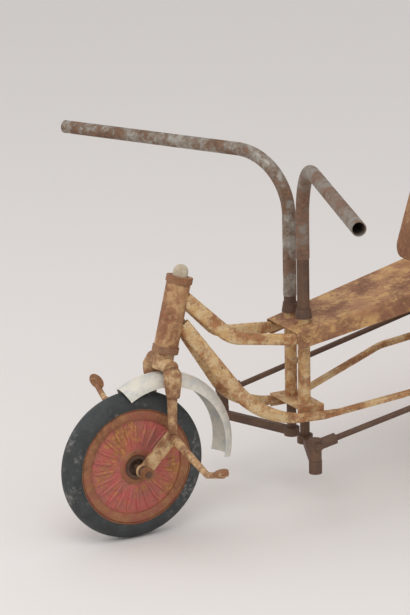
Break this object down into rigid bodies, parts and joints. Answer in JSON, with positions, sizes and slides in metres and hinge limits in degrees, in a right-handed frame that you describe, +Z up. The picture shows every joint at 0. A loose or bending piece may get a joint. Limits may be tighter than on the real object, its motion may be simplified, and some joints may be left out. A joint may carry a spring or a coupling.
{
  "type": "rowing tricycle",
  "caption": "Child's rowing tricycle: two swinging hand levers drive the rear axle by rods; feet steer the small front wheel.",
  "frame": {"origin": "on the floor midway between the two lever posts", "axes": "+X forward, +Y to the rider's left, +Z up"},
  "size_m": [1.2509, 0.9094, 0.5965],
  "materials": {
    "frame_paint": "cream paint, rust mottled",
    "seat_rust": "rusted paint",
    "back_board": "brown, worn",
    "headset_rust": "rusted",
    "nut_cream": "worn cream",
    "fork_paint": "rusted cream",
    "fender_cream": "chalky off-white",
    "tyre": "worn rubber",
    "wheel_red": "faded red, rusted",
    "dark_steel": "dark rusty steel",
    "lever_plain": "rusted tube",
    "lever_nickel": "worn nickel plate"
  },
  "bodies": {
    "frame": {"head_tube": "frame_paint", "headset_cups": "headset_rust", "upper_rails": "frame_paint", "lower_rails": "frame_paint", "lower_plate": "frame_paint", "post_sleeves": "frame_paint", "seat_plate": "seat_rust", "backrest": "back_board", "seat_stays": "frame_paint", "cross_tube": "frame_paint", "axle_bearings": "frame_paint"},
    "fork": {"steering_stem": "headset_rust", "dome_nut": "nut_cream", "fork_crown": "fork_paint", "fork_blades": "fork_paint", "fork_ends": "fork_paint", "footrests": "fork_paint", "front_axle": "dark_steel", "front_fender": "fender_cream"},
    "front_wheel": {"front_tyre": "tyre", "front_rim": "wheel_red", "front_discs": "wheel_red", "front_hub": "dark_steel"},
    "rear_axle": {"rear_axle": "dark_steel", "rear_crank_left": "dark_steel", "rear_crank_right": "dark_steel", "rear_left_tyre": "tyre", "rear_left_rim": "wheel_red", "rear_left_discs": "wheel_red", "rear_left_hub": "dark_steel", "rear_right_tyre": "tyre", "rear_right_rim": "wheel_red", "rear_right_discs": "wheel_red", "rear_right_hub": "dark_steel"},
    "lever_left": {"lever_left": "lever_plain", "lever_socket_left": "dark_steel", "lever_shaft_left": "dark_steel", "crank_arm_left": "dark_steel"},
    "rod_left": {"rod_knuckle_left": "dark_steel", "connecting_rod_left": "dark_steel", "crank_bolt_left": "dark_steel"},
    "lever_right": {"lever_right": "lever_nickel", "lever_socket_right": "dark_steel", "lever_shaft_right": "dark_steel", "crank_arm_right": "dark_steel"},
    "rod_right": {"rod_knuckle_right": "dark_steel", "connecting_rod_right": "dark_steel", "crank_bolt_right": "dark_steel"}
  },
  "joints": [
    {"name": "steering", "type": "hinge", "parent": "frame", "child": "fork", "pos_m": [0.2404, 0, 0.2988], "axis": [-0.2428, 0, 0.9701], "range_deg": [-35, 35]},
    {"name": "front_wheel_spin", "type": "hinge", "parent": "fork", "child": "front_wheel", "pos_m": [0.304, 0, 0.122], "axis": [0, 1, 0], "continuous": true},
    {"name": "rear_axle_spin", "type": "hinge", "parent": "frame", "child": "rear_axle", "pos_m": [-0.575, 0, 0.25], "axis": [0, 1, 0], "continuous": true},
    {"name": "lever_left_swing", "type": "hinge", "parent": "frame", "child": "lever_left", "pos_m": [0, 0.0223, 0.2], "axis": [0, 0, 1], "range_deg": [-6, 30]},
    {"name": "rod_left_swivel", "type": "hinge", "parent": "lever_left", "child": "rod_left", "pos_m": [0.05802, 0.15899, 0.1557], "axis": [0, 0, 1], "range_deg": [-29, 6]},
    {"name": "lever_right_swing", "type": "hinge", "parent": "frame", "child": "lever_right", "pos_m": [0, -0.0223, 0.2], "axis": [0, 0, 1], "range_deg": [-30, 6]},
    {"name": "rod_right_swivel", "type": "hinge", "parent": "lever_right", "child": "rod_right", "pos_m": [0.05802, -0.15899, 0.1557], "axis": [0, 0, 1], "range_deg": [-6, 29]}
  ],
  "couplings": [
    {"joint": "lever_right_swing", "follows": "lever_left_swing", "ratio": -1},
    {"joint": "rod_left_swivel", "follows": "lever_left_swing", "ratio": -0.9537},
    {"joint": "rod_right_swivel", "follows": "lever_left_swing", "ratio": 0.9537}
  ]
}
